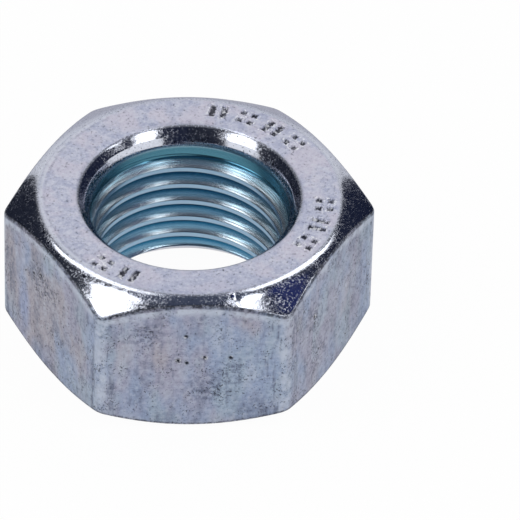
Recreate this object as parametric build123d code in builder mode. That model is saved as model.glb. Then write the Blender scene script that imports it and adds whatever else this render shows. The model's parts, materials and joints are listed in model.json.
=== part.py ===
"""Hexagon nut with a right-hand metric thread, chamfered at both faces.

The nut stands on its lower face, with the thread's axis along +Z and its origin
in the middle of that face. Lengths are in millimetres and angles in degrees.
"""

from build123d import *
from build123d.topology import SkipClean
import math
import os

# Hexagon
across_flats = 60.0
nut_height = 31.0
corner_radius = 2.5

# Chamfers that turn the corners off, starting inside the flats at both faces
chamfer_inset = 2.0
chamfer_angle = 31.5

# Thread, to the basic 60 degree profile
thread_diameter = 39.0
thread_pitch = 4.0
thread_flank_angle = 30.0
thread_start_angle = 30.0

# Countersinks, wider than the thread, and the plain recess below the upper one
countersink_margin = 1.5
countersink_half_angle = 45.0
recess_relief = 1.15
recess_length = 3.5

# Punched marks on the upper face, given as the first angle of each arc and its count
mark_inset = 3.0
mark_depth = 0.4
mark_width = 1.0
mark_length = 3.2
mark_spacing = 2.2
mark_step_angle = 13.0
mark_arcs = ((37.0, 4), (-33.0, 3), (-131.0, 2))

# Sizes that follow from those above
flank_slope = math.tan(math.radians(thread_flank_angle))
chamfer_slope = math.tan(math.radians(chamfer_angle))
countersink_slope = 1 / math.tan(math.radians(countersink_half_angle))
root_radius = thread_diameter / 2
crest_radius = root_radius - thread_pitch / 2 / flank_slope * 5 / 8
root_land = thread_pitch / 8
recess_radius = crest_radius + recess_relief
rim_radius = root_radius + countersink_margin
chamfer_radius = across_flats / 2 - chamfer_inset
mark_radius = chamfer_radius - mark_inset
corner_reach = across_flats / math.sqrt(3)
chamfer_rise = (corner_reach - chamfer_radius) * chamfer_slope

# One turn of the thread groove, rising from the +X side
with BuildPart() as groove_turn:
    mouth_radius = crest_radius - thread_pitch / 16
    half_mouth = root_land / 2 + (root_radius - mouth_radius) * flank_slope
    with BuildLine():
        Helix(thread_pitch, thread_pitch, root_radius)
    with BuildSketch(Plane.XZ):
        with BuildLine():
            Polyline(
                (mouth_radius, -half_mouth),
                (root_radius, -root_land / 2),
                (root_radius, root_land / 2),
                (mouth_radius, half_mouth),
                close=True,
            )
        make_face()
    sweep(is_frenet=True)

with BuildPart() as hex_nut:
    # Hexagonal bar, with one flat to the front
    with BuildSketch():
        RegularPolygon(across_flats / 2, 6, major_radius=False)
        fillet(vertices(), corner_radius)
    extrude(amount=nut_height)

    # Turned chamfers
    with BuildSketch(Plane.XZ):
        with BuildLine():
            Polyline(
                (0, 0),
                (chamfer_radius, 0),
                (corner_reach, chamfer_rise),
                (corner_reach, nut_height - chamfer_rise),
                (chamfer_radius, nut_height),
                (0, nut_height),
                close=True,
            )
        make_face()
    revolve(axis=Axis.Z, mode=Mode.INTERSECT)

    # From here the faces stay as they are cut, so that the crest is a row of short ones
    with SkipClean():
        # Tapping hole, a quarter at a time
        for quarter in range(4):
            with BuildSketch():
                with BuildLine():
                    wall = CenterArc((0, 0), crest_radius, 90 * quarter, 90)
                    Polyline(wall @ 1, (0, 0), wall @ 0)
                make_face()
            extrude(amount=nut_height, mode=Mode.SUBTRACT)

        # Upper mouth: countersink, plain recess, and a shoulder down to the crests
        recess_top = nut_height - (rim_radius - recess_radius) * countersink_slope
        recess_foot = recess_top - recess_length
        with BuildSketch(Plane.XZ):
            with BuildLine():
                Polyline(
                    (0, nut_height),
                    (rim_radius, nut_height),
                    (recess_radius, recess_top),
                    (recess_radius, recess_foot),
                    (crest_radius, recess_foot - recess_relief),
                    (0, recess_foot - recess_relief),
                    close=True,
                )
            make_face()
        revolve(axis=Axis.Z, mode=Mode.SUBTRACT)

        # Lower mouth: a plain countersink
        lower_countersink = (rim_radius - crest_radius) * countersink_slope
        with BuildSketch(Plane.XZ):
            with BuildLine():
                Polyline(
                    (0, 0),
                    (rim_radius, 0),
                    (crest_radius, lower_countersink),
                    (0, lower_countersink),
                    close=True,
                )
            make_face()
        revolve(axis=Axis.Z, mode=Mode.SUBTRACT)

        # Thread groove, which runs out past both faces
        groove_phase = -thread_pitch * thread_start_angle / 360
        for turn in range(-1, math.ceil(nut_height / thread_pitch) + 1):
            with Locations((0, 0, groove_phase + turn * thread_pitch)):
                add(groove_turn.part, mode=Mode.SUBTRACT)

        # Punched marks, four square dots and a pair of bars in turn
        with BuildSketch(Plane.XY.offset(nut_height)):
            for first_angle, count in mark_arcs:
                for place in range(count):
                    with PolarLocations(mark_radius, 1, first_angle + place * mark_step_angle):
                        if place % 2 == 0:
                            with GridLocations(mark_spacing, mark_spacing, 2, 2):
                                Rectangle(mark_width, mark_width)
                        else:
                            with GridLocations(0, mark_spacing, 1, 2):
                                Rectangle(mark_length, mark_width)
        extrude(amount=-mark_depth, mode=Mode.SUBTRACT)

hex_nut.part.label = "hex_nut"

os.makedirs("parts", exist_ok=True)
export_step(hex_nut.part, "parts/hex_nut.step")
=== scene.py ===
"""Looks of a zinc-plated hexagon nut with a right-hand thread.

The nut is one piece, so it gets one skin: a closed mesh that a geometry tree makes from the nut's
own sizes, with a helical grid for the threaded hole and rings of quadratic curves for the outside.
The nut's sizes are stated in millimetres and degrees, and are in metres and radians inside the
geometry tree. The studio's are in metres and degrees.
"""

import json
import logging
import math
from dataclasses import dataclass, field
from enum import Enum
from typing import Any, Callable

import bmesh
import bpy
import numpy as np
from mathutils import Matrix, Vector


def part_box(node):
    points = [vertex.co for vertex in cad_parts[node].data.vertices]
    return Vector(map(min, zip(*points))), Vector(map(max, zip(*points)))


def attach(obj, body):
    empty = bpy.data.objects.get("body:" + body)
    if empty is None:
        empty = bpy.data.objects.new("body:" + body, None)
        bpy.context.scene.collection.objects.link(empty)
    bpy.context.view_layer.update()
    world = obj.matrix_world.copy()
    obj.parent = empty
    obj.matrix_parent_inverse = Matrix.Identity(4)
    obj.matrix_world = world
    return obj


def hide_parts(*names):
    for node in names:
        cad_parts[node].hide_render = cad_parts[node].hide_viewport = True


MM = 0.001
HEX_SIDES = 6
HALF_SIDE = math.radians(180 / HEX_SIDES)
LOG = logging.getLogger("hex_nut")

Colour = tuple[float, float, float, float]
Place = tuple[float, float, float]
Span = tuple[float, float]

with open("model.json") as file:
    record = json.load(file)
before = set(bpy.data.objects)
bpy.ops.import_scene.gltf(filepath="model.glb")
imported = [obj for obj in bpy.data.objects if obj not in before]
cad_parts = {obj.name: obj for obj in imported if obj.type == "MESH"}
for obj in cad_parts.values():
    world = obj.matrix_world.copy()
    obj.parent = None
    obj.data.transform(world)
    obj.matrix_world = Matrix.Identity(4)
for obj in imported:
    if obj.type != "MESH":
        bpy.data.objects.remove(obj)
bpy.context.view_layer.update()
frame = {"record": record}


def srgb(red: int, green: int, blue: int) -> Colour:
    """Turns a display colour into the linear one that a shader takes.

    Args:
        red: red, from 0 to 255.
        green: green, from 0 to 255.
        blue: blue, from 0 to 255.

    Returns:
        The linear colour, with an alpha of 1.
    """
    shares = [level / 255 for level in (red, green, blue)]
    linear = [s / 12.92 if s <= 0.04045 else ((s + 0.055) / 1.055) ** 2.4 for s in shares]
    return (*linear, 1.0)


WHITE = srgb(255, 255, 255)
BRIGHT_ZINC = srgb(204, 208, 220)
DULL_ZINC = srgb(92, 100, 122)
# Soot for real flecks and spots, and also the colour of painted shade along the flats' edges and in the
# punched hollows
SOOT_AND_PAINTED_SHADE = srgb(26, 30, 42)


def add_object(name: str, data: bpy.types.ID) -> bpy.types.Object:
    """Makes an object at the origin and puts it in the scene.

    Args:
        name: its name.
        data: its mesh, lamp or camera.

    Returns:
        The object.
    """
    made = bpy.data.objects.new(name, data)
    bpy.context.scene.collection.objects.link(made)
    return made


def _operator(operation: str, swapped: bool = False) -> Callable[["Value", Any], "Value"]:
    """Makes the method behind one of Python's operators.

    Args:
        operation: what the Math node does.
        swapped: True for the reflected form, as in 1 - mask.

    Returns:
        The method, which adds one Math node.
    """

    def method(self: "Value", other: Any) -> "Value":
        """Adds the Math node for this operator."""
        return self.graph.math(operation, *((other, self) if swapped else (self, other)))

    return method


class Value:
    """A node's output. On one that carries numbers, Python's operators add Math nodes."""

    def __init__(self, graph: "Graph", socket: bpy.types.NodeSocket) -> None:
        """Wraps a socket of a graph."""
        self.graph = graph
        self.socket = socket

    __add__, __radd__ = _operator("ADD"), _operator("ADD", swapped=True)
    __sub__, __rsub__ = _operator("SUBTRACT"), _operator("SUBTRACT", swapped=True)
    __mul__, __rmul__ = _operator("MULTIPLY"), _operator("MULTIPLY", swapped=True)
    __truediv__, __rtruediv__ = _operator("DIVIDE"), _operator("DIVIDE", swapped=True)
    __pow__ = _operator("POWER")
    __gt__ = _operator("GREATER_THAN")

    def __abs__(self) -> "Value":
        """Adds the Math node for an absolute value."""
        return self.graph.math("ABSOLUTE", self)

    def do(self, operation: str, *others: Any) -> "Value":
        """Adds any other Math node, with this value first."""
        return self.graph.math(operation, self, *others)

    def fade(self, start: Any, end: Any, low: Any = 0.0, high: Any = 1.0) -> "Value":
        """Fades smoothly from low to high while this value goes from start to end."""
        inputs = {"Value": self, "From Min": start, "From Max": end, "To Min": low, "To Max": high}
        return self.graph.node("ShaderNodeMapRange", {"interpolation_type": "SMOOTHSTEP"}, inputs)

    def blend(self, first: Any, second: Any) -> "Value":
        """Mixes two colours, so that 0 gives the first and 1 the second."""
        inputs = {0: self, 6: first, 7: second}
        return self.graph.node("ShaderNodeMix", {"data_type": "RGBA"}, inputs, output=2)

    def scaled(self, factor: Any) -> "Value":
        """Makes a vector longer by a factor."""
        inputs = {"Vector": self, "Scale": factor}
        return self.graph.node("ShaderNodeVectorMath", {"operation": "SCALE"}, inputs)

    def parts(self) -> tuple["Value", "Value", "Value"]:
        """Splits a vector into its three numbers."""
        split = self.graph.node("ShaderNodeSeparateXYZ", inputs={0: self})
        return tuple(Value(self.graph, socket) for socket in split.socket.node.outputs)


class Graph:
    """A node tree, with one method that adds any node."""

    def __init__(self, tree: bpy.types.NodeTree) -> None:
        """Starts from a tree."""
        self.tree = tree

    @classmethod
    def blank(cls, owner: bpy.types.Material | bpy.types.World) -> "Graph":
        """Empties the shader tree of a material or of the world, and starts from it.

        Args:
            owner: the material or the world.

        Returns:
            The empty graph.
        """
        owner.use_nodes = True
        owner.node_tree.nodes.clear()
        return cls(owner.node_tree)

    def close(self, kind: str, socket: str, value: Value) -> None:
        """Adds the tree's output node, which takes a value at one of its sockets."""
        output = self.tree.nodes.new(kind)
        self.tree.links.new(value.socket, output.inputs[socket])

    def shade(self, kind: str, inputs: dict[str | int, Any]) -> None:
        """Ends a material's tree with a shader."""
        self.close("ShaderNodeOutputMaterial", "Surface", self.node(kind, inputs=inputs))

    def node(
        self,
        kind: str,
        settings: dict[str, Any] | None = None,
        inputs: dict[str | int, Any] | None = None,
        output: str | int = 0,
    ) -> Value:
        """Adds a node.

        Args:
            kind: the node's type.
            settings: its own choices, which are set first.
            inputs: what its sockets take, by name or number: a number, a colour, a Value or a list
                of Values.
            output: name or number of the output that is wanted.

        Returns:
            That output.
        """
        made = self.tree.nodes.new(kind)
        for name, choice in (settings or {}).items():
            setattr(made, name, choice)
        for name, given in (inputs or {}).items():
            for one in given if isinstance(given, list) else [given]:
                if isinstance(one, Value):
                    self.tree.links.new(one.socket, made.inputs[name])
                else:
                    made.inputs[name].default_value = one
        return Value(self, made.outputs[output])

    def math(self, operation: str, *values: Any) -> Value:
        """Adds a Math node on one, two or three values."""
        return self.node("ShaderNodeMath", {"operation": operation}, dict(enumerate(values)))

    def vector(self, x: Any, y: Any, z: Any) -> Value:
        """Joins three numbers into a vector."""
        return self.node("ShaderNodeCombineXYZ", inputs={0: x, 1: y, 2: z})


def coated(colour: Any, *coats: tuple[Value, Any]) -> Value:
    """Lays coats over a colour, one after another.

    Args:
        colour: the colour below.
        coats: for each coat its share, from 0 to 1, and its colour.

    Returns:
        The colour that shows.
    """
    for share, coat in coats:
        colour = share.blend(colour, coat)
    return colour


class Zone(Enum):
    """How a stretch of the surface was made, with the name of the attribute that marks it."""

    FACED = "faced"
    TURNED = "turned"
    FORGED = "forged"
    TAPPED = "tapped"


class Reading(Enum):
    """What else the skin says of each place, with the name of the attribute that says it.

    FLANK is the distance from the middle of the thread's groove along the axis, CORNER the distance
    from the hexagon's nearest corner, and BROW the height below the upper edge of the flats or above
    the lower one, all in millimetres. PUNCHED is up to 1 in a mark, up to 2 in a pit, and down to -1
    on a burr.
    """

    FLANK = "flank"
    CORNER = "corner"
    BROW = "brow"
    PUNCHED = "punched"


Marks = dict[Zone | Reading, Any]
Point = tuple[Value, Value]


@dataclass(frozen=True)
class Band:
    """One ring of the outside, a quadratic curve turned about the axis, from one zone to another."""

    zone: Zone
    next_zone: Zone
    rows: int
    first: Point
    pull: Point
    last: Point

    @classmethod
    def straight(cls, zone: Zone, rows: int, first: Point, last: Point) -> "Band":
        """Makes a band with a straight section."""
        middle = ((first[0] + last[0]) * 0.5, (first[1] + last[1]) * 0.5)
        return cls(zone, zone, rows, first, middle, last)

    def mirrored(self, height: Value) -> "Band":
        """Makes the same band at the other face.

        Args:
            height: the nut's height.

        Returns:
            The mirrored band.
        """
        points = (self.last, self.pull, self.first)
        turned_over = [(radius, height - level) for radius, level in points]
        return Band(self.next_zone, self.zone, self.rows, *turned_over)


@dataclass(frozen=True)
class PunchedMarks:
    """Plain marks punched into the upper face: four square dots and a pair of bars in turn.

    Each arc has its first angle and its count of marks. The outlines are ragged by three ripples,
    each with its turn along X and along Y in radians per millimetre, and its start.
    """

    circle_radius: float = 25.0
    depth: float = 0.4
    width: float = 1.0
    length: float = 3.2
    spacing: float = 2.2
    step_angle: float = 13.0
    arcs: tuple[tuple[float, int], ...] = ((37.0, 4), (-33.0, 3), (-131.0, 2))
    wall: float = 0.22
    ragged: float = 0.13
    ripples: tuple[Place, ...] = ((7.3, 4.1, 0.0), (-5.2, 8.9, 1.3), (11.0, -9.4, 2.1))
    burr_height: float = 0.1
    burr_width: float = 0.25
    burr_reach: float = 1.0
    cuts: int = 3

    def stamps(self) -> list[tuple[float, float, float, float, float]]:
        """Lists the punched shapes.

        Returns:
            For each shape its mark's angle in degrees, its place along and across the radius from
            the mark's middle, and half its length along and across the radius.
        """
        shapes = []
        half_gap, half_width = self.spacing / 2, self.width / 2
        for first_angle, count in self.arcs:
            for place in range(count):
                angle = first_angle + place * self.step_angle
                if place % 2 == 0:
                    offsets, half_length = (-half_gap, half_gap), half_width
                else:
                    offsets, half_length = (0.0,), self.length / 2
                places = [(i, j) for i in offsets for j in (-half_gap, half_gap)]
                shapes += [(angle, i, j, half_length, half_width) for i, j in places]
        return shapes

    def depth_at(self, x: np.ndarray, y: np.ndarray) -> np.ndarray:
        """Works out how far the punch pushes the face down.

        Args:
            x: places along X, in millimetres.
            y: places along Y, in millimetres.

        Returns:
            The depth at each place, in millimetres, below zero on the burr round each shape.
        """
        total = np.zeros_like(x)
        ripple = sum(np.sin(a * x + b * y + start) for a, b, start in self.ripples)
        for angle, along, across, half_length, half_width in self.stamps():
            c, s = math.cos(math.radians(angle)), math.sin(math.radians(angle))
            outside_along = np.abs(x * c + y * s - self.circle_radius - along) - half_length
            outside_across = np.abs(y * c - x * s - across) - half_width
            distance = np.maximum(outside_along, outside_across) + self.ragged * ripple / 2
            share = np.clip(0.5 - distance / self.wall, 0, 1)
            hollow = self.depth * share * share * (3 - 2 * share)
            burr = self.burr_height * np.exp(-(((distance - self.burr_width) / self.burr_width) ** 2))
            total += np.where(distance < self.wall / 2, hollow, -burr * (distance < self.burr_reach))
        return total

    def reach(self, x: float, y: float, margin: float = 0.5) -> bool:
        """Says whether a place lies on a mark or near one.

        Args:
            x: the place along X, in millimetres.
            y: the place along Y.
            margin: how far off a mark still counts as near.

        Returns:
            True if it does.
        """
        span = max(self.length, self.spacing + self.width) / 2 + margin
        for first_angle, count in self.arcs:
            for place in range(count):
                angle = math.radians(first_angle + place * self.step_angle)
                along = x * math.cos(angle) + y * math.sin(angle) - self.circle_radius
                across = y * math.cos(angle) - x * math.sin(angle)
                if max(abs(along), abs(across)) < span:
                    return True
        return False


@dataclass(frozen=True)
class Dent:
    """A small knock or pit: its middle, width and depth in millimetres, and how dark it is."""

    middle: Place
    width: float
    depth: float
    # soot: how much painted shade the dent's hollow gets; from a half upwards it is also a dark pit
    soot: float = 1.0

    def share(self, places: np.ndarray) -> np.ndarray:
        """Is 1 in the middle of the dent and falls to 0 outside it, at places in millimetres."""
        distance = np.linalg.norm(places - np.array(self.middle), axis=1)
        return np.exp(-((distance / (self.width / 2)) ** 2))


@dataclass
class HexNut:
    """The nut's skin. The frame gives its outer size and its hole, and the fields hold the rest.

    The throat is a steeper second surface at the foot of the upper countersink. The flank steps give
    half a turn of the thread, from the middle of the groove to the middle of the crest, as stretches
    along the axis and the rows of faces in each.
    """

    corner_radius: float = 2.5
    chamfer_inset: float = 1.7
    chamfer_angle: float = 32.7
    thread_diameter: float = 39.0
    thread_pitch: float = 4.0
    thread_start_angle: float = 30.0
    thread_flank_angle: float = 30.0
    countersink_margin: float = 1.5
    recess_relief: float = 1.15
    recess_length: float = 3.5
    recess_groove: float = 0.15
    recess_run_out: float = 0.6
    lip: float = 0.85
    crown_inside: float = 0.9
    crown_outside: float = 2.4
    crown_share: float = 0.75
    edge: float = 0.4
    root_rounding: float = 0.4
    crest_rounding: float = 0.12
    mouth_rounding: float = 0.12
    throat_depth: float = 3.15
    throat_angle: float = 29.0
    throat_rounding: float = 0.3
    turned_reach: float = 0.25
    waviness: float = 0.06
    wave_length: float = 5.0
    seed: float = 7.0
    columns: int = 264
    corner_crowding: float = 0.75
    lip_rows: int = 4
    face_rows: int = 16
    crown_rows: int = 9
    chamfer_rows: int = 8
    edge_rows: int = 5
    flat_rows: int = 24
    merge_distance: float = 0.01
    flank_steps: tuple[tuple[float, int], ...] = (
        (0.12, 1), (0.3, 3), (0.96, 4), (0.24, 3), (0.38, 1)
    )
    marks: PunchedMarks = field(default_factory=PunchedMarks)
    # How fast a mark's depth and a dent's soot reach the full share of painted shade and highlight in
    # the hollow
    darkening_gain: float = 2.0
    level_normal: float = 0.9
    level_reach: float = 1.0
    fine_reach: float = 1.0
    dents: tuple[Dent, ...] = (
        Dent((7.5, -27.9, 30.5), 1.2, 0.14, soot=0.08),
        Dent((-1.4, -30.0, 22.7), 0.7, 0.2),
        Dent((-2.8, -30.0, 16.8), 0.95, 0.25),
        Dent((-1.2, -30.0, 16.3), 0.65, 0.15),
        Dent((2.1, -30.0, 17.5), 0.8, 0.25),
        Dent((6.8, -30.0, 17.5), 0.7, 0.2),
        Dent((-28.9, -10.0, 21.0), 0.6, 0.2),
        Dent((-27.7, -12.1, 22.3), 0.7, 0.25),
        Dent((22.5, -21.0, 19.3), 0.8, 0.2),
    )

    def __post_init__(self) -> None:
        """Reads the outer size and the thread's crest from the frame."""
        low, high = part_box("hex_nut")
        self.height = (high.z - low.z) / MM
        self.across_flats = (high.y - low.y) / MM
        thread = next(m for m in frame["record"]["mounts"] if m["name"] == "thread")
        self.crest_radius = thread["dims"]["r_mm"]

    def inputs(self) -> dict[str, float]:
        """Lists what the tree takes, in metres and radians.

        Returns:
            The size for each of the tree's inputs.
        """
        root_radius = self.thread_diameter / 2
        rim_radius = root_radius + self.countersink_margin
        recess_radius = self.crest_radius + self.recess_relief
        recess_foot = self.height - (rim_radius - recess_radius) - self.recess_length
        return {
            "Height": self.height * MM,
            "Half Across Flats": self.across_flats / 2 * MM,
            "Corner Radius": self.corner_radius * MM,
            "Chamfer Start Radius": (self.across_flats / 2 - self.chamfer_inset) * MM,
            "Chamfer Angle": math.radians(self.chamfer_angle),
            "Rim Radius": rim_radius * MM,
            "Recess Radius": recess_radius * MM,
            "Recess Foot": recess_foot * MM,
            "Root Radius": root_radius * MM,
            "Crest Radius": self.crest_radius * MM,
            "Pitch": self.thread_pitch * MM,
            "Start Angle": math.radians(self.thread_start_angle),
            "Lip": self.lip * MM,
            "Crown Inside": self.crown_inside * MM,
            "Crown Outside": self.crown_outside * MM,
            "Edge": self.edge * MM,
            "Root Rounding": self.root_rounding * MM,
            "Crest Rounding": self.crest_rounding * MM,
            "Mouth Rounding": self.mouth_rounding * MM,
            "Throat Depth": self.throat_depth * MM,
            "Throat Angle": math.radians(self.throat_angle),
            "Throat Rounding": self.throat_rounding * MM,
            "Waviness": self.waviness * MM,
            "Waves per Metre": 1 / (self.wave_length * MM),
            "Seed": self.seed,
        }

    def build(self, finish: bpy.types.Material) -> bpy.types.Object:
        """Makes the nut's skin.

        Args:
            finish: the material that it wears.

        Returns:
            The finished piece, a plain mesh at the origin.
        """
        tree = bpy.data.node_groups.new("threaded_hex_nut", "GeometryNodeTree")
        tree.interface.new_socket("Geometry", in_out="OUTPUT", socket_type="NodeSocketGeometry")
        sockets = {
            name: tree.interface.new_socket(name, in_out="INPUT", socket_type="NodeSocketFloat")
            for name in self.inputs()
        }
        sockets["Finish"] = tree.interface.new_socket(
            "Finish", in_out="INPUT", socket_type="NodeSocketMaterial"
        )
        NutTree(Graph(tree), self).wire()
        carrier = add_object("nut_rule", bpy.data.meshes.new("nut_rule"))
        modifier = carrier.modifiers.new("nut", "NODES")
        modifier.node_group = tree
        for name, size in (self.inputs() | {"Finish": finish}).items():
            modifier[sockets[name].identifier] = size
        evaluated = carrier.evaluated_get(bpy.context.evaluated_depsgraph_get())
        mesh = bpy.data.meshes.new_from_object(evaluated)
        bpy.data.objects.remove(carrier)
        self._knock(mesh)
        mesh.name = "nut_body"
        return add_object("nut_body", mesh)

    def _knock(self, mesh: bpy.types.Mesh) -> None:
        """Punches the marks and adds the dents, on a finer mesh where they are.

        Args:
            mesh: the skin as the tree makes it, which is changed.
        """
        work = bmesh.new()
        work.from_mesh(mesh)
        near = {edge for face in work.faces if self._is_fine(face) for edge in face.edges}
        bmesh.ops.subdivide_edges(work, edges=list(near), cuts=self.marks.cuts, use_grid_fill=True)
        work.normal_update()
        work.to_mesh(mesh)
        normals = np.array([v.normal for v in work.verts])
        work.free()
        places = np.array([v.co for v in mesh.vertices]) / MM
        punched = np.zeros(len(places))
        for dent in self.dents:
            share = dent.share(places)
            places -= normals * (dent.depth * share)[:, None]
            punched = np.maximum(punched, share * dent.soot * self.darkening_gain)
        faced = (normals[:, 2] > self.level_normal) & (places[:, 2] > self.height - self.level_reach)
        depth = self.marks.depth_at(places[faced, 0], places[faced, 1])
        places[faced, 2] -= depth
        # The hollow's share of painted shade and painted highlight, full at half the mark's depth; a
        # burr's share is below zero
        hollow = np.clip(depth / self.marks.depth * self.darkening_gain, 0, 1)
        struck = np.where(depth > 0, hollow, depth / self.marks.burr_height)
        punched[faced] = np.where(np.abs(struck) > punched[faced], struck, punched[faced])
        mesh.vertices.foreach_set("co", (places * MM).astype(np.float32).ravel())
        attribute = mesh.attributes.new(Reading.PUNCHED.value, "FLOAT", "POINT")
        attribute.data.foreach_set("value", punched.astype(np.float32))
        mesh.update()

    def _is_fine(self, face: bmesh.types.BMFace) -> bool:
        """Says whether a face lies at a mark or a dent.

        Args:
            face: a face of the skin.

        Returns:
            True if it does.
        """
        middle = face.calc_center_median() / MM
        if face.normal.z > self.level_normal and self.marks.reach(middle.x, middle.y):
            return True
        return any(
            (middle - Vector(dent.middle)).length < dent.width + self.fine_reach for dent in self.dents
        )


class NutTree:
    """Writes the geometry tree that makes the skin from its inputs."""

    def __init__(self, graph: Graph, nut: HexNut) -> None:
        """Starts an empty tree for a nut.

        Args:
            graph: the tree.
            nut: the nut that it makes.
        """
        self.graph = graph
        self.nut = nut
        self.size = {name: graph.node("NodeGroupInput", output=name) for name in nut.inputs()}
        grid_x, grid_y, _ = graph.node("GeometryNodeInputPosition").parts()
        self.across, self.along = grid_x + 0.5, grid_y + 0.5
        self.swing, self.angle = self._angles()
        self.wall = self._wall_radius()
        chamfer_reach = self.wall - self.size["Chamfer Start Radius"]
        chamfer_drop = chamfer_reach * self.size["Chamfer Angle"].do("TANGENT")
        self.edge_level = self.size["Height"] - chamfer_drop

    def _angles(self) -> tuple[Value, Value]:
        """Spreads the columns round the nut, closer together at the hexagon's corners.

        Returns:
            A column's angle from the middle of its flat, and its angle from +X.
        """
        crowding = self.nut.corner_crowding
        side = (self.across * HEX_SIDES).do("FLOOR")
        share = (self.across * HEX_SIDES - side) * 2 - 1
        crowded = (share * (math.pi / 2)).do("SINE")
        swing = (share * (1 - crowding) + crowded * crowding) * HALF_SIDE
        return swing, (side + 0.5) * (2 * HALF_SIDE) + swing

    def _wall_radius(self) -> Value:
        """Works out how far the hexagon's wall is from the axis, at a column.

        Returns:
            The wall's radius.
        """
        half, corner = self.size["Half Across Flats"], self.size["Corner Radius"]
        swing = abs(self.swing)
        inner = half - corner
        beside = inner * math.tan(HALF_SIDE)
        reach = swing.do("COSINE") * inner + swing.do("SINE") * beside
        under_root = corner * corner - inner * inner - beside * beside + reach * reach
        rounded = reach + under_root.do("MAXIMUM", 0.0).do("SQRT")
        straight = half / swing.do("COSINE")
        return straight + (rounded - straight) * (swing.do("TANGENT") * half > beside)

    def outside(self) -> list[Value]:
        """Makes the outside, from the lip of the upper mouth to the lip of the lower one.

        Returns:
            The grids of its bands, from the top down.
        """
        height, wall, slope = self.size["Height"], self.wall, self.size["Chamfer Angle"]
        rim, brink = self.size["Rim Radius"], self.size["Chamfer Start Radius"]
        lip, edge = self.size["Lip"], self.size["Edge"]
        cosine, sine, edge_level = slope.do("COSINE"), slope.do("SINE"), self.edge_level
        crown_in = self.size["Crown Inside"]
        crown_out = (wall - brink) / cosine * self.nut.crown_share
        crown_out = crown_out.do("MINIMUM", self.size["Crown Outside"])
        inside_lip = (rim - lip * math.sqrt(0.5), height - lip * math.sqrt(0.5))
        outside_lip = (rim + lip, height)
        inside_crown = (brink - crown_in, height)
        outside_crown = (brink + crown_out * cosine, height - crown_out * sine)
        above_edge = (wall - edge * cosine, edge_level + edge * sine)
        below_edge = (wall, edge_level - edge)
        nut, edge_point = self.nut, (wall, edge_level)
        upper = [
            Band(Zone.TURNED, Zone.FACED, nut.lip_rows, inside_lip, (rim, height), outside_lip),
            Band.straight(Zone.FACED, nut.face_rows, outside_lip, inside_crown),
            Band(Zone.FACED, Zone.TURNED, nut.crown_rows, inside_crown, (brink, height), outside_crown),
            Band.straight(Zone.TURNED, nut.chamfer_rows, outside_crown, above_edge),
            Band(Zone.TURNED, Zone.FORGED, nut.edge_rows, above_edge, edge_point, below_edge),
        ]
        side = Band.straight(Zone.FORGED, nut.flat_rows, below_edge, (wall, height - below_edge[1]))
        lower = [band.mirrored(height) for band in reversed(upper)]
        return [self._ring(band) for band in [*upper, side, *lower]]

    def _ring(self, band: Band) -> Value:
        """Makes one band of the outside.

        Args:
            band: the band.

        Returns:
            Its grid.
        """
        start, end = (1 - self.along) ** 2, self.along**2
        middle = self.along * (1 - self.along) * 2
        radius, level = (
            start * first + middle * pull + end * last
            for first, pull, last in zip(band.first, band.pull, band.last)
        )
        half = self.size["Half Across Flats"]
        from_corner = half * (math.tan(HALF_SIDE) - abs(self.swing).do("TANGENT")) / MM
        above_lower = level - self.size["Height"] + self.edge_level
        brow = (self.edge_level - level).do("MINIMUM", above_lower) / MM
        marks: Marks = {Reading.CORNER: from_corner, Reading.BROW: brow}
        if band.zone is band.next_zone:
            marks[band.zone] = 1.0
        else:
            passed = self.along.fade(0.0, 0.5)
            marks |= {band.zone: 1 - passed, band.next_zone: passed}
        return self._sheet(band.rows, radius, level, marks)

    def thread(self) -> Value:
        """Makes the hole: a grid that climbs one pitch a turn, cut back by the mouths at its two ends.

        Returns:
            The grid.
        """
        steps = self.nut.flank_steps
        half = sum(count for _, count in steps)
        pitch_mm, height_mm = self.nut.thread_pitch, self.nut.height
        turns = math.ceil(height_mm / pitch_mm + 1 + self.nut.thread_start_angle / 360)
        pitch = self.size["Pitch"]
        row = (self.along * (turns * 2 * half)).do("ROUND")
        turn = ((row + 0.5) / (2 * half)).do("FLOOR")
        step = row - turn * (2 * half)
        fold = half - abs(step - half)
        flank: Any = 0.0
        done = 0
        for span, count in steps:
            flank = flank + ((fold - done) / count).do("MAXIMUM", 0.0).do("MINIMUM", 1.0) * span
            done += count
        flank = flank * MM
        climb = flank + (pitch - flank * 2) * (step > half)
        started = pitch * (1 + self.size["Start Angle"] / (2 * math.pi))
        level = turn * pitch + climb - started + pitch * self.angle / (2 * math.pi)
        cut = self.size["Lip"] * math.sqrt(0.5)
        level = level.do("MAXIMUM", cut).do("MINIMUM", self.size["Height"] - cut)
        radius, turned = self._hole_section(flank, level)
        marks = {
            Zone.TURNED: turned,
            Zone.TAPPED: 1 - turned,
            Reading.FLANK: flank / MM,
            Reading.BROW: height_mm,
        }
        return self._sheet(turns * 2 * half, radius, level, marks)

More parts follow.
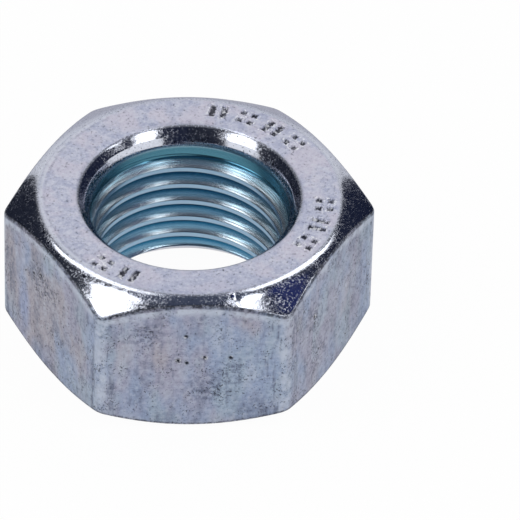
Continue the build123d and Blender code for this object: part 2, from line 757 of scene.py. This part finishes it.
    def _hole_section(self, flank: Value, level: Value) -> tuple[Value, Value]:
        """Works out the hole's radius, and where a countersink and not the tap has cut it.

        Args:
            flank: how far a place is from the middle of its groove, along the axis.
            level: its height.

        Returns:
            The radius there, and 1 on a countersink or 0 on the thread.
        """
        nut, rounding = self.nut, self.size["Mouth Rounding"]
        root, crest = self.size["Root Radius"], self.size["Crest Radius"]
        recess, foot, rim = (self.size[name] for name in ("Recess Radius", "Recess Foot", "Rim Radius"))
        half_land = self.size["Pitch"] / 16
        slant = root - (flank - half_land) / math.tan(math.radians(nut.thread_flank_angle))
        thread = slant.do("SMOOTH_MAX", crest, self.size["Crest Rounding"])
        thread = thread.do("SMOOTH_MIN", root, self.size["Root Rounding"])
        run_out, groove = foot - nut.recess_run_out * MM, recess + nut.recess_groove * MM
        thread = thread.do("MINIMUM", level.fade(run_out, foot, root, groove))
        shoulder = (recess - foot + level).do("MINIMUM", recess)
        tapped = thread.do("SMOOTH_MAX", shoulder, rounding)
        upper, lower = rim - self.size["Height"] + level, rim - level
        above_throat = level - self.size["Height"] + self.size["Throat Depth"]
        throat = recess + above_throat * self.size["Throat Angle"].do("TANGENT")
        widest = throat.do("MAXIMUM", upper).do("MAXIMUM", lower)
        turned = (widest - tapped).fade(-nut.turned_reach * MM, 0.0)
        tapped = tapped.do("SMOOTH_MAX", throat, self.size["Throat Rounding"])
        return tapped.do("SMOOTH_MAX", upper, rounding).do("SMOOTH_MAX", lower, rounding), turned

    def _sheet(self, rows: int, radius: Value, level: Value, marks: Marks) -> Value:
        """Bends a flat grid round the axis.

        Args:
            rows: how many rows of faces it has.
            radius: the radius at each place.
            level: the height at each place.
            marks: what to store as attributes.

        Returns:
            The bent grid.
        """
        node = self.graph.node
        counts = {"Vertices X": self.nut.columns + 1, "Vertices Y": rows + 1}
        sheet = node("GeometryNodeMeshGrid", inputs={"Size X": 1.0, "Size Y": 1.0} | counts)
        for mark, value in marks.items():
            settings = {"data_type": "FLOAT", "domain": "POINT"}
            stored = {"Geometry": sheet, "Name": mark.value, "Value": value}
            sheet = node("GeometryNodeStoreNamedAttribute", settings, stored)
        cosine, sine = self.angle.do("COSINE"), self.angle.do("SINE")
        place = self.graph.vector(radius * cosine, radius * sine, level)
        return node("GeometryNodeSetPosition", inputs={"Geometry": sheet, "Position": place})

    def wire(self) -> None:
        """Joins the sheets into one closed skin and gives it its slight waves and its material."""
        node = self.graph.node
        joined = node("GeometryNodeJoinGeometry", inputs={"Geometry": [*self.outside(), self.thread()]})
        closeness = self.nut.merge_distance * MM
        closed = node("GeometryNodeMergeByDistance", inputs={"Geometry": joined, "Distance": closeness})
        skin = node("GeometryNodeFlipFaces", inputs={"Mesh": closed})
        wave = node(
            "ShaderNodeTexNoise",
            {"noise_dimensions": "4D"},
            {"Scale": self.size["Waves per Metre"], "W": self.size["Seed"], "Detail": 1.0},
        )
        name = {"Name": Zone.TAPPED.value}
        tapped = node("GeometryNodeInputNamedAttribute", {"data_type": "FLOAT"}, name, "Attribute")
        push = (wave - 0.5) * self.size["Waviness"] * (1 - tapped)
        offset = node("GeometryNodeInputNormal").scaled(push)
        skin = node("GeometryNodeSetPosition", inputs={"Geometry": skin, "Offset": offset})
        skin = node("GeometryNodeSetShadeSmooth", inputs={"Geometry": skin, "Shade Smooth": True})
        skin = node("GeometryNodeRealizeInstances", inputs={"Geometry": skin})
        finish = node("NodeGroupInput", output="Finish")
        skin = node("GeometryNodeSetMaterial", inputs={"Geometry": skin, "Material": finish})
        self.graph.close("NodeGroupOutput", "Geometry", skin)


@dataclass(frozen=True)
class Surface:
    """What a material can read at each place of the skin, which it takes in millimetres."""

    graph: Graph
    place: Value
    read: dict[Zone | Reading, Value]

    @classmethod
    def of(cls, graph: Graph) -> "Surface":
        """Adds the nodes that read the place and the skin's attributes.

        Args:
            graph: the material's tree.

        Returns:
            The surface.
        """
        place = graph.node("ShaderNodeTexCoord", output="Object").scaled(1 / MM)
        read = {
            mark: graph.node("ShaderNodeAttribute", {"attribute_name": mark.value}, output="Fac")
            for mark in (*Zone, *Reading)
        }
        return cls(graph, place, read)

    def punched(self) -> Value:
        """Is 1 in a punched mark or a pit and 0 elsewhere, burrs included."""
        return self.read[Reading.PUNCHED].do("MAXIMUM", 0.0).do("MINIMUM", 1.0)


@dataclass(frozen=True)
class Ramp:
    """A smooth ramp: the values where it starts and ends, and its heights at the end and the start."""

    start: float
    end: float
    high: float = 1.0
    low: float = 0.0

    def over(self, value: Value) -> Value:
        """Fades from low to high while a value goes from start to end."""
        return value.fade(self.start, self.end, self.low, self.high)


@dataclass(frozen=True)
class Texture:
    """Random noise: its waves in each millimetre, its finer layers, and how strong those are."""

    per_mm: float
    detail: float = 2.0
    roughness: float = 0.5

    def on(self, place: Value) -> Value:
        """Adds the noise.

        Args:
            place: the place, in millimetres.

        Returns:
            The noise, about 0 to 1.
        """
        inputs = {"Scale": self.per_mm, "Detail": self.detail, "Roughness": self.roughness}
        settings = {"noise_dimensions": "3D"}
        return place.graph.node("ShaderNodeTexNoise", settings, inputs | {"Vector": place})


@dataclass(frozen=True)
class Patch:
    """A round patch of the surface, by its middle and its radius in millimetres."""

    middle: Place
    radius: float

    def on(self, place: Value) -> Value:
        """Says how far inside the patch a place is.

        Args:
            place: the place, in millimetres.

        Returns:
            1 in the middle of the patch, fading to 0 at its rim.
        """
        inputs = {0: place, 1: self.middle}
        distance = place.graph.node("ShaderNodeVectorMath", {"operation": "DISTANCE"}, inputs, "Value")
        return distance.fade(self.radius, 0.0)


@dataclass(frozen=True)
class Cloud:
    """Soft clouds of one colour, which gather on some patches of the nut and thin out on others."""

    colour: Colour
    texture: Texture
    stretch: float
    pulls: tuple[tuple[Patch, float], ...]
    edge: Ramp

    def coat(self, place: Value, leaning: Value) -> tuple[Value, Colour]:
        """Makes a coat of the clouds.

        Args:
            place: the place, in millimetres.
            leaning: the place, with its height drawn out.

        Returns:
            The coat's share and its colour.
        """
        amount = self.texture.on(leaning.scaled(self.stretch))
        for patch, pull in self.pulls:
            amount = amount + patch.on(place) * pull
        return self.edge.over(amount), self.colour


LEFT_FLAT = Patch((-27.0, -11.0, 14.0), 19.0)
FRONT_MIDDLE = Patch((-5.0, -30.0, 16.0), 12.0)
FRONT_RIGHT = Patch((9.0, -30.0, 13.0), 13.0)
RIGHT_FLAT = Patch((23.0, -19.0, 15.0), 18.0)


@dataclass(frozen=True)
class ForgedFlats:
    """Patchy blue, lavender and tan of the forged flats, with dull stains, pale wear and flecks."""

    blue: Colour = srgb(148, 162, 190)
    sky: Colour = srgb(150, 166, 205)
    pale: Colour = srgb(190, 198, 212)
    lavender_clouds: Cloud = Cloud(
        srgb(163, 160, 178),
        Texture(0.15, 3.0),
        1.0,
        ((FRONT_MIDDLE, 0.12), (RIGHT_FLAT, 0.14), (FRONT_RIGHT, -0.16)),
        Ramp(0.4, 0.62, 0.8),
    )
    tan_clouds: Cloud = Cloud(
        srgb(170, 163, 168),
        Texture(0.1, 3.0, 0.55),
        1.7,
        ((LEFT_FLAT, 0.28), (RIGHT_FLAT, -0.04), (FRONT_RIGHT, -0.2)),
        Ramp(0.5, 0.74, 0.75),
    )
    cyan_clouds: Cloud = Cloud(
        srgb(158, 174, 190),
        Texture(0.13, 3.0, 0.55),
        -1.3,
        ((LEFT_FLAT, -0.2), (FRONT_MIDDLE, -0.15), (FRONT_RIGHT, 0.08)),
        Ramp(0.48, 0.68, 0.7),
    )
    cloud_height: float = 0.42
    streak: Patch = Patch((-30.7, -6.8, 3.1), 3.4)
    streak_height: float = 0.3
    streak_edge: Ramp = Ramp(0.0, 1.0, 0.75)
    upright: Texture = Texture(0.9, 3.0, 0.65)
    upright_height: float = 0.17
    ragged: Texture = Texture(0.3, 5.0, 0.7)
    light: Texture = Texture(0.22, 4.0, 0.6)
    light_stretch: float = 1.1
    fine: Texture = Texture(1.0, 3.0, 0.65)
    fleck: Texture = Texture(2.1, 3.0, 0.75)
    gathered: Texture = Texture(0.3)
    gathered_span: Span = (-0.155, 0.145)
    crowd_pull: float = 0.06
    corner_pull: float = 0.02
    soot_fleck: Ramp = Ramp(0.41, 0.33, 0.9)
    near_corner: Ramp = Ramp(5.5, 2.0)
    off_corner: Ramp = Ramp(0.6, 1.6)
    dull_cloud: Ramp = Ramp(0.5, 0.34, 0.36)
    dull_grain: Ramp = Ramp(0.5, 0.34, 0.32)
    dull_streak: Ramp = Ramp(0.47, 0.34, 0.25)
    dull_corner_streak: Ramp = Ramp(0.52, 0.38, 0.5)
    dull_crowd: Ramp = Ramp(0.56, 0.4, 0.45)
    dullest: float = 0.8
    pale_cloud: Ramp = Ramp(0.52, 0.7, 0.4)
    pale_grain: Ramp = Ramp(0.5, 0.65, 0.3)
    worn_brow: Ramp = Ramp(0.3, 0.9, 0.8)
    brow_foot: Ramp = Ramp(2.6, 1.2)
    upper_brow: Ramp = Ramp(12.0, 18.0)
    worn_corner: Ramp = Ramp(2.0, 0.8, 0.6)
    worn_outline: Ramp = Ramp(-0.16, 0.1)
    palest: float = 0.85
    clusters: tuple[Patch, ...] = (
        Patch((-27.0, -13.5, 20.0), 6.5),
        Patch((22.0, -21.5, 19.0), 7.0),
        Patch((23.5, -19.5, 9.0), 6.0),
        Patch((3.0, -30.0, 10.0), 6.0),
        Patch((7.5, -30.0, 14.0), 5.0),
        Patch((-9.0, -30.0, 23.0), 4.5),
    )

    def colour(self, surface: Surface) -> Value:
        """Mixes the flats' colour.

        Args:
            surface: the skin that the material is on.

        Returns:
            The colour.
        """
        place = surface.place
        x, y, z = place.parts()
        leaning = surface.graph.vector(x, y, z * self.cloud_height)
        ragged = self.ragged.on(place) - 0.5
        streak = self.streak.on(surface.graph.vector(x, y, z * self.streak_height)) + ragged
        light, fine = self.light.on(leaning.scaled(self.light_stretch)), self.fine.on(place)
        crowd: Any = 0.0
        for cluster in self.clusters:
            crowd = cluster.on(place).do("MAXIMUM", crowd)
        clouds = (self.lavender_clouds, self.tan_clouds, self.cyan_clouds)
        return coated(
            self.blue,
            *(cloud.coat(place, leaning) for cloud in clouds),
            (self.streak_edge.over(streak), self.sky),
            (self._stains(surface, light, fine, crowd), DULL_ZINC),
            (self._wear(surface, light, fine, ragged), self.pale),
            (self._flecks(surface, crowd), SOOT_AND_PAINTED_SHADE),
        )

    def _beside_corner(self, surface: Surface) -> Value:
        """Is 1 on the strips a little to each side of a corner."""
        from_corner = surface.read[Reading.CORNER]
        return self.near_corner.over(from_corner) * self.off_corner.over(from_corner)

    def _stains(self, surface: Surface, light: Value, fine: Value, crowd: Value) -> Value:
        """Says how dull the zinc is, in clouds, grains, upright streaks and crowded places.

        Args:
            surface: the skin that the material is on.
            light: noise in clouds.
            fine: noise in grains.
            crowd: 1 where the flecks crowd together.

        Returns:
            The share of dull zinc.
        """
        x, y, z = surface.place.parts()
        upright = self.upright.on(surface.graph.vector(x, y, z * self.upright_height))
        dull = self.dull_cloud.over(light) + self.dull_grain.over(fine)
        dull = dull + self.dull_corner_streak.over(upright) * self._beside_corner(surface)
        dull = dull + self.dull_streak.over(upright) + crowd * self.dull_crowd.over(fine)
        return dull.do("MINIMUM", self.dullest)

    def _wear(self, surface: Surface, light: Value, fine: Value, ragged: Value) -> Value:
        """Says how pale the zinc is, in clouds and grains, below the upper edge and on the corners.

        Args:
            surface: the skin that the material is on.
            light: noise in clouds.
            fine: noise in grains.
            ragged: noise that breaks up an outline.

        Returns:
            The share of pale zinc.
        """
        brow, (_, _, z) = surface.read[Reading.BROW], surface.place.parts()
        below_edge = self.worn_brow.over(brow) * self.brow_foot.over(brow) * self.upper_brow.over(z)
        worn = below_edge.do("MAXIMUM", self.worn_corner.over(surface.read[Reading.CORNER]))
        pale = self.pale_cloud.over(light) + self.pale_grain.over(fine)
        return (pale + worn * self.worn_outline.over(ragged)).do("MINIMUM", self.palest)

    def _flecks(self, surface: Surface, crowd: Value) -> Value:
        """Says where the small dark flecks are.

        Args:
            surface: the skin that the material is on.
            crowd: 1 where the flecks crowd together.

        Returns:
            The share of soot.
        """
        low, high = self.gathered_span
        gathered = self.gathered.on(surface.place) * (high - low) + low
        gathered = gathered - crowd * self.crowd_pull - self._beside_corner(surface) * self.corner_pull
        return self.soot_fleck.over(self.fleck.on(surface.place) + gathered)


@dataclass(frozen=True)
class FacedRings:
    """Paler colour of the two faces, with the fine step that the facing tool left on one side, and
    painted shade that darkens them towards -Y, the front.
    """

    zinc: Colour = srgb(200, 202, 218)
    shade: Colour = srgb(168, 173, 198)
    rose: Colour = srgb(204, 198, 212)
    mottle: Texture = Texture(0.45, 8.0, 0.85)
    tint: Texture = Texture(0.16, 3.0)
    wear: Texture = Texture(0.5, 3.0)
    fine: Texture = Texture(1.7, 3.0, 0.7)
    step_radius: float = 27.5
    step_edge: Ramp = Ramp(0.5, 0.1, 0.7)
    groove_radius: float = 26.8
    groove_edge: Ramp = Ramp(0.35, 0.05, 0.3)
    groove_wear: Ramp = Ramp(0.35, 0.6)
    left_side: Ramp = Ramp(-8.0, -20.0)
    # Painted shade: how much darker the faces grow towards -Y, the front
    front_shade: Ramp = Ramp(-19.0, -27.0, 0.45)
    shaded: Ramp = Ramp(0.38, 0.6)
    rosy: Ramp = Ramp(0.45, 0.62, 0.6)
    bright_speck: Ramp = Ramp(0.53, 0.68, 0.8)
    dull_speck: Ramp = Ramp(0.46, 0.36, 0.3)
    dark_speck: Ramp = Ramp(0.37, 0.28, 0.8)

    def colour(self, surface: Surface) -> Value:
        """Mixes the faces' colour.

        Args:
            surface: the skin that the material is on.

        Returns:
            The colour.
        """
        place = surface.place
        x, y, _ = place.parts()
        radius = (x * x + y * y).do("SQRT")
        at_left = self.left_side.over(x)
        step = self.step_edge.over(abs(radius - self.step_radius)) * at_left
        groove = self.groove_edge.over(abs(radius - self.groove_radius)) * at_left
        fine = self.fine.on(place)
        return coated(
            self.zinc,
            (self.shaded.over(self.mottle.on(place)), self.shade),
            (self.rosy.over(self.tint.on(place.scaled(-1.0))), self.rose),
            # painted shade towards the front
            (self.front_shade.over(y), self.shade),
            (step, BRIGHT_ZINC),
            (groove * self.groove_wear.over(self.wear.on(place)), DULL_ZINC),
            (self.bright_speck.over(fine), BRIGHT_ZINC),
            (self.dull_speck.over(fine), DULL_ZINC),
            (self.dark_speck.over(fine), SOOT_AND_PAINTED_SHADE),
        )


@dataclass(frozen=True)
class TappedThread:
    """Colour of the hole: blue zinc, nearly neutral where the thread is open, with painted shade that
    darkens it to blue-green towards the root of each groove and lower down in the recess.
    """

    # Painted shade: the darkest colour, at the root of each groove, with lighter steps towards the open
    # flank
    shaded_root: Colour = srgb(104, 164, 192)
    middle: Colour = srgb(170, 204, 222)
    open_flank: Colour = srgb(186, 200, 210)
    crest: Colour = srgb(150, 178, 200)
    # Painted shade: the darker, lower part of the recess
    shaded_recess: Colour = srgb(84, 136, 154)
    recess_open: Colour = srgb(130, 162, 176)
    middle_from: Ramp = Ramp(0.45, 0.85)
    open_from: Ramp = Ramp(0.95, 1.35)
    crest_from: Ramp = Ramp(1.46, 1.56)
    recess_from: Ramp = Ramp(24.3, 24.9)
    recess_open_from: Ramp = Ramp(26.9, 27.4)

    def colour(self, surface: Surface) -> Value:
        """Mixes the hole's colour.

        Args:
            surface: the skin that the material is on.

        Returns:
            The colour.
        """
        flank, (_, _, level) = surface.read[Reading.FLANK], surface.place.parts()
        # Painted shade: the recess darkens lower down
        recess = self.recess_open_from.over(level).blend(self.shaded_recess, self.recess_open)
        # Painted shade: darkest blue-green at each groove's root, lighter towards the open flank and
        # the crest
        return coated(
            self.shaded_root,
            (self.middle_from.over(flank), self.middle),
            (self.open_from.over(flank), self.open_flank),
            (self.crest_from.over(flank), self.crest),
            (self.recess_from.over(level), recess),
        )


@dataclass(frozen=True)
class Polish:
    """How rough and how metallic the zinc is in one zone."""

    roughness: float
    metallic: float


POLISH = {
    Zone.FORGED: Polish(0.4, 0.35),
    Zone.FACED: Polish(0.36, 0.28),
    Zone.TURNED: Polish(0.12, 1.0),
    Zone.TAPPED: Polish(0.22, 0.9),
}


@dataclass(frozen=True)
class ZincPlate:
    """Thin blue-white zinc over forged, turned and tapped steel."""

    flats: ForgedFlats = ForgedFlats()
    faces: FacedRings = FacedRings()
    thread: TappedThread = TappedThread()
    # Painted highlight: the pale colour laid on the burrs round the marks and in speckles inside the
    # hollows
    burr: Colour = srgb(238, 240, 246)
    grazing: Colour = srgb(184, 184, 194)
    speckle: Texture = Texture(1.1, 4.0, 0.65)
    grain: Texture = Texture(3.2, 3.0, 0.7)
    spots: Texture = Texture(2.6, 2.0, 0.6)
    patches: Texture = Texture(0.4, 3.0, 0.6)
    sparkle: Texture = Texture(2.7, 1.0)
    lay: Texture = Texture(1.0)
    lay_stretch: Place = (8.0, 0.1, 0.05)
    lay_relief: float = 0.016
    bright_relief: Span = (0.008, 0.005)
    dull_relief: Span = (0.03, 0.012)
    tapped_relief: float = 0.09
    tapped_spots: float = 0.2
    patch_share: float = 0.5
    rough_spot: Ramp = Ramp(0.7, 0.98, 0.2)
    grain_roughness: float = 0.1
    mark_gloss: float = 0.18
    turned_spot: Ramp = Ramp(0.39, 0.3)
    above_edge: Ramp = Ramp(-0.3, -0.05)
    below_edge: Ramp = Ramp(0.75, 0.25)
    # Painted shade: a dark line, broken up by noise, along the edges where the chamfers meet the flats
    edge_shade: Ramp = Ramp(1.14, 0.9, 0.85, low=0.15)
    burr_height: Ramp = Ramp(-0.35, -0.9)
    # Painted highlights on the burrs and in the hollows, and painted shade in the hollows of the marks
    # and the dents
    burr_highlight: Ramp = Ramp(0.48, 0.6, 0.85)
    hollow_highlight: Ramp = Ramp(0.5, 0.6)
    hollow_shade: Ramp = Ramp(0.6, 0.46, 0.95, low=0.3)
    dark_pit: Ramp = Ramp(1.0, 1.5)

    def material(self) -> bpy.types.Material:
        """Builds the finish.

        Returns:
            A material that reads the skin's attributes to tell its zones apart.
        """
        finish = bpy.data.materials.new("zinc_plate")
        surface = Surface.of(Graph.blank(finish))
        speckle, grain, spots = (
            texture.on(surface.place) for texture in (self.speckle, self.grain, self.spots)
        )
        inputs = {
            "Base Color": self._colour(surface, speckle, grain, spots),
            "Roughness": self._roughness(surface, grain, spots),
            "Metallic": sum(polish.metallic * surface.read[zone] for zone, polish in POLISH.items()),
            "Normal": self._normal(surface, speckle, grain),
            "Specular Tint": self.grazing,
        }
        surface.graph.shade("ShaderNodeBsdfPrincipled", inputs)
        return finish

    def _colour(self, surface: Surface, speckle: Value, grain: Value, spots: Value) -> Value:
        """Joins the zones' colours, and adds painted shade along the flats' edges, painted highlights
        on the burrs and in the hollows, painted shade in the hollows, and dark pits.

        Args:
            surface: the skin that the material is on.
            speckle: coarse noise.
            grain: fine noise.
            spots: noise in spots.

        Returns:
            The colour.
        """
        read, punched = surface.read, surface.punched()
        struck, brow = read[Reading.PUNCHED], read[Reading.BROW]
        at_edge = self.above_edge.over(brow) * self.below_edge.over(brow)
        return coated(
            self.flats.colour(surface),
            (read[Zone.FACED], self.faces.colour(surface)),
            (read[Zone.TURNED], self.turned_spot.over(spots).blend(BRIGHT_ZINC, SOOT_AND_PAINTED_SHADE)),
            # painted shade along the edges of the flats
            (at_edge * self.edge_shade.over(speckle + grain), SOOT_AND_PAINTED_SHADE),
            (read[Zone.TAPPED], self.thread.colour(surface)),
            # painted highlights on the burrs and in the hollows, then painted shade in the hollows
            (self.burr_height.over(struck) * self.burr_highlight.over(speckle), self.burr),
            (punched * self.hollow_highlight.over(speckle), self.burr),
            (punched * self.hollow_shade.over(speckle), SOOT_AND_PAINTED_SHADE),
            (self.dark_pit.over(struck), SOOT_AND_PAINTED_SHADE),
        )

    def _roughness(self, surface: Surface, grain: Value, spots: Value) -> Value:
        """Joins the zones' roughness. Marks are smoother, and bright metal has some dull spots.

        Args:
            surface: the skin that the material is on.
            grain: fine noise.
            spots: noise in spots.

        Returns:
            The roughness.
        """
        read = surface.read
        rough = sum(polish.roughness * read[zone] for zone, polish in POLISH.items())
        rough = rough + (grain - 0.5) * self.grain_roughness - surface.punched() * self.mark_gloss
        spotted = self.rough_spot.over(spots + self.patches.on(surface.place) * self.patch_share)
        return rough + spotted * (read[Zone.TURNED] + read[Zone.TAPPED] * self.tapped_spots)

    def _normal(self, surface: Surface, speckle: Value, grain: Value) -> Value:
        """Adds relief too fine for the mesh, in millimetres: grain, and the lay that the tap left.

        Args:
            surface: the skin that the material is on.
            speckle: coarse noise.
            grain: fine noise.

        Returns:
            The bumped normal.
        """
        graph, place, read = surface.graph, surface.place, surface.read
        x, y, z = place.parts()
        across, along, climb = self.lay_stretch
        lay = graph.vector(read[Reading.FLANK] * across, x * along, y * along + z * climb)
        bright = read[Zone.TURNED] + read[Zone.TAPPED] * self.tapped_relief
        coarse, fine = self.bright_relief
        height = (speckle * coarse + self.sparkle.on(place) * fine) * bright
        coarse, fine = self.dull_relief
        height = height + (speckle * coarse + grain * fine) * (read[Zone.FORGED] + read[Zone.FACED])
        height = height + self.lay.on(lay) * self.lay_relief * read[Zone.TAPPED]
        return graph.node("ShaderNodeBump", inputs={"Strength": 1.0, "Distance": MM, "Height": height})


def direction(azimuth: float, elevation: float) -> Vector:
    """Points from the nut into the room.

    Args:
        azimuth: degrees from +X, towards +Y.
        elevation: degrees above the floor.

    Returns:
        A vector of length 1.
    """
    a, e = math.radians(azimuth), math.radians(elevation)
    return Vector((math.cos(a) * math.cos(e), math.sin(a) * math.cos(e), math.sin(e)))


# The blue flag hangs in front of the dark flag behind it, and the panels in front of them all
FLAG_DISTANCE = 0.9
BLUE_FLAG_DISTANCE = 0.88
PANEL_DISTANCE = 0.85


class Glow(Enum):
    """How bright a card is, where 1 is white."""

    FLAG = 1.0
    LOW = 1.1
    PANEL = 3.0
    HIGH = 6.0


@dataclass(frozen=True)
class Card:
    """A dark flag or a white panel that only reflections see, a patch of a sphere round the nut.

    Its spans and its lean are in degrees. The top of a leaning card stands further round.
    """

    name: str
    azimuths: Span
    elevations: Span
    distance: float
    glow: Glow
    colour: Colour = WHITE
    lean: float = 0.0
    facet: float = 6.0

    def hang(self) -> None:
        """Makes the card and hangs it."""
        (left, right), (low, high) = self.azimuths, self.elevations
        across = max(2, round((right - left) / self.facet))
        up = max(2, round((high - low) / self.facet))
        corners = []
        for i in range(up + 1):
            first, elevation = left + self.lean * i / up, low + (high - low) * i / up
            azimuths = [first + (right - left) * j / across for j in range(across + 1)]
            corners += [direction(azimuth, elevation) * self.distance for azimuth in azimuths]
        row = across + 1
        starts = [i * row + j for i in range(up) for j in range(across)]
        faces = [(start, start + 1, start + row + 1, start + row) for start in starts]
        mesh = bpy.data.meshes.new(self.name)
        mesh.from_pydata(corners, [], faces)
        face = bpy.data.materials.new(self.name)
        light = {"Color": self.colour, "Strength": self.glow.value}
        Graph.blank(face).shade("ShaderNodeEmission", light)
        mesh.materials.append(face)
        hung = add_object(self.name, mesh)
        hung.visible_camera = hung.visible_diffuse = False
        hung.visible_shadow = hung.visible_transmission = False


def flag(
    name: str, azimuths: Span, elevations: Span, colour: Colour, distance: float = FLAG_DISTANCE
) -> Card:
    """Makes a dark flag."""
    return Card(name, azimuths, elevations, distance, Glow.FLAG, colour)


def panel(
    name: str, azimuths: Span, elevations: Span, glow: Glow = Glow.PANEL, lean: float = 0.0
) -> Card:
    """Makes a white panel, in front of the flags."""
    return Card(name, azimuths, elevations, PANEL_DISTANCE, glow, lean=lean)


@dataclass(frozen=True)
class Softbox:
    """A soft lamp that faces the nut."""

    name: str
    azimuth: float
    elevation: float
    width: float
    height: float
    radiance: float
    distance: float = 0.8

    def light(self) -> None:
        """Sets up the lamp."""
        data = bpy.data.lights.new(self.name, "AREA")
        data.shape = "RECTANGLE"
        data.size, data.size_y = self.width, self.height
        data.energy = self.radiance * math.pi * self.width * self.height
        lamp = add_object(self.name, data)
        lamp.location = direction(self.azimuth, self.elevation) * self.distance
        lamp.rotation_euler = lamp.location.to_track_quat("Z", "Y").to_euler()
        lamp.visible_glossy = False


@dataclass
class Studio:
    """White room, white floor, two soft lamps, and the cards that the bright metal mirrors."""

    floor_reach: float = 3.0
    floor_glow: float = 0.96
    floor_paper: Colour = (0.9, 0.9, 0.9, 1.0)
    ambient: float = 0.75
    cards: tuple[Card, ...] = (
        flag("flag_over", (-180, 180), (70.5, 90), srgb(72, 79, 97)),
        flag("flag_left", (119, 270), (1, 70.5), srgb(37, 41, 53)),
        flag("flag_right", (-90, 58), (1, 70.5), srgb(32, 38, 58)),
        flag("flag_back", (58, 119), (60, 70.5), srgb(66, 70, 86)),
        panel("panel_left", (194, 227), (34, 51)),
        panel("panel_left_low", (194, 232), (2, 34), Glow.LOW),
        panel("panel_left_high", (177, 201), (57, 69.5), Glow.HIGH, lean=11),
        panel("panel_right", (-52, -28), (34, 54)),
        panel("panel_right_low", (-64, -28), (2, 34), Glow.LOW),
        panel("panel_right_floor", (-28, 0), (2, 22), Glow.LOW),
        flag("flag_blue", (-14, 10), (49, 63), srgb(24, 38, 96), BLUE_FLAG_DISTANCE),
        panel("panel_right_mid", (-12, 6), (38, 45)),
        panel("panel_right_high", (-38, -15), (63.5, 70), Glow.HIGH),
        panel("strip_left", (132, 146), (47, 74), lean=18),
        panel("strip_left_wide", (120, 152), (57, 69), lean=8),
        panel("strip_left_high", (128, 165), (70, 79)),
        panel("strip_right", (34, 45), (42, 68), lean=-18),
        panel("strip_right_wide", (28, 50), (51, 68), lean=-8),
        panel("strip_right_high", (14, 46), (66, 74)),
    )
    lamps: tuple[Softbox, ...] = (
        Softbox("softbox_left", -154, 52, 0.55, 0.4, 1.1),
        Softbox("softbox_right", -40, 52, 0.5, 0.4, 1.1),
    )

    def build(self) -> None:
        """Makes the room."""
        self._room()
        self._floor()
        for card in self.cards:
            card.hang()
        for lamp in self.lamps:
            lamp.light()

    @staticmethod
    def _seen_directly(graph: Graph) -> Value:
        """Tells what is seen from light that falls.

        Args:
            graph: the tree of the world or of the floor's paper.

        Returns:
            1 for what the camera, a reflection or a clear body sees, and 0 for light that falls.
        """
        seen: Any = 0.0
        for ray in ("Is Camera Ray", "Is Glossy Ray", "Is Transmission Ray"):
            seen = graph.node("ShaderNodeLightPath", output=ray).do("MAXIMUM", seen)
        return seen

    def _room(self) -> None:
        """Lights the room evenly, and shows it as white."""
        world = bpy.data.worlds.new("studio")
        graph = Graph.blank(world)
        even, white = (
            graph.node("ShaderNodeBackground", inputs={"Color": WHITE, "Strength": strength})
            for strength in (self.ambient, 1.0)
        )
        inputs = {0: self._seen_directly(graph), 1: even, 2: white}
        mixed = graph.node("ShaderNodeMixShader", inputs=inputs)
        graph.close("ShaderNodeOutputWorld", "Surface", mixed)
        bpy.context.scene.world = world

    def _floor(self) -> None:
        """Lays a white floor that keeps the nut's shadow."""
        reach = self.floor_reach
        mesh = bpy.data.meshes.new("floor")
        corners = [(-reach, -reach, 0), (reach, -reach, 0), (reach, reach, 0), (-reach, reach, 0)]
        mesh.from_pydata(corners, [], [(0, 1, 2, 3)])
        paper = bpy.data.materials.new("white_paper")
        graph = Graph.blank(paper)
        matt = graph.node("ShaderNodeBsdfDiffuse", inputs={"Color": self.floor_paper})
        glow = graph.node("ShaderNodeEmission", inputs={"Color": WHITE, "Strength": 1.0})
        seen = self._seen_directly(graph) * self.floor_glow
        graph.shade("ShaderNodeMixShader", {0: seen, 1: matt, 2: glow})
        mesh.materials.append(paper)
        floor = add_object("floor", mesh)


@dataclass(frozen=True)
class PhotoCamera:
    """The photograph's viewpoint, fitted to the nut's outline, rims and thread."""

    elevation: float = 40.85
    turn: float = -3.243
    roll: float = 1.65
    distance: float = 1.1
    focal_pixels: float = 5905.0
    frame_pixels: float = 520.0
    nut_pixel: Span = (188.616, 258.731)
    sensor: float = 36.0
    clip: Span = (0.05, 20.0)

    def place(self, aim: Vector) -> None:
        """Makes the camera, so that the nut's middle falls on its pixel of the photograph.

        Args:
            aim: the nut's middle.
        """
        data = bpy.data.cameras.new("photo_camera")
        data.sensor_width = self.sensor
        data.lens = self.sensor * self.focal_pixels / self.frame_pixels
        data.clip_start, data.clip_end = self.clip
        e, r = math.radians(self.elevation), math.radians(self.roll)
        turn = Matrix.Rotation(math.radians(self.turn), 3, "Z")
        level_right = Vector((1, 0, 0))
        level_down = Vector((0, -math.sin(e), -math.cos(e)))
        right = turn @ (level_right * math.cos(r) - level_down * math.sin(r))
        down = turn @ (level_right * math.sin(r) + level_down * math.cos(r))
        ahead = turn @ Vector((0, math.cos(e), -math.sin(e)))
        metres_per_pixel = self.distance / self.focal_pixels
        off_right, off_down = (
            (pixel - self.frame_pixels / 2) * metres_per_pixel for pixel in self.nut_pixel
        )
        spot = aim - ahead * self.distance - right * off_right - down * off_down
        axes = Matrix((right, -down, -ahead)).transposed()
        camera = add_object("photo_camera", data)
        camera.matrix_world = Matrix.Translation(spot) @ axes.to_4x4()
        bpy.context.scene.camera = camera


def main() -> None:
    """Builds the camera, the nut and the room."""
    logging.basicConfig(level=logging.INFO, format="%(name)s: %(message)s")
    bpy.context.scene.view_settings.view_transform = "Standard"
    nut = HexNut()
    PhotoCamera().place(Vector((0, 0, nut.height / 2 * MM)))
    piece = nut.build(ZincPlate().material())
    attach(piece, "root")
    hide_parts("hex_nut")
    triangles = sum(len(face.vertices) - 2 for face in piece.data.polygons)
    LOG.info("%s: %d triangles", piece.name, triangles)
    studio = Studio()
    studio.build()
    LOG.info("studio: %d cards and %d lamps", len(studio.cards), len(studio.lamps))


if __name__ == "__main__":
    main()
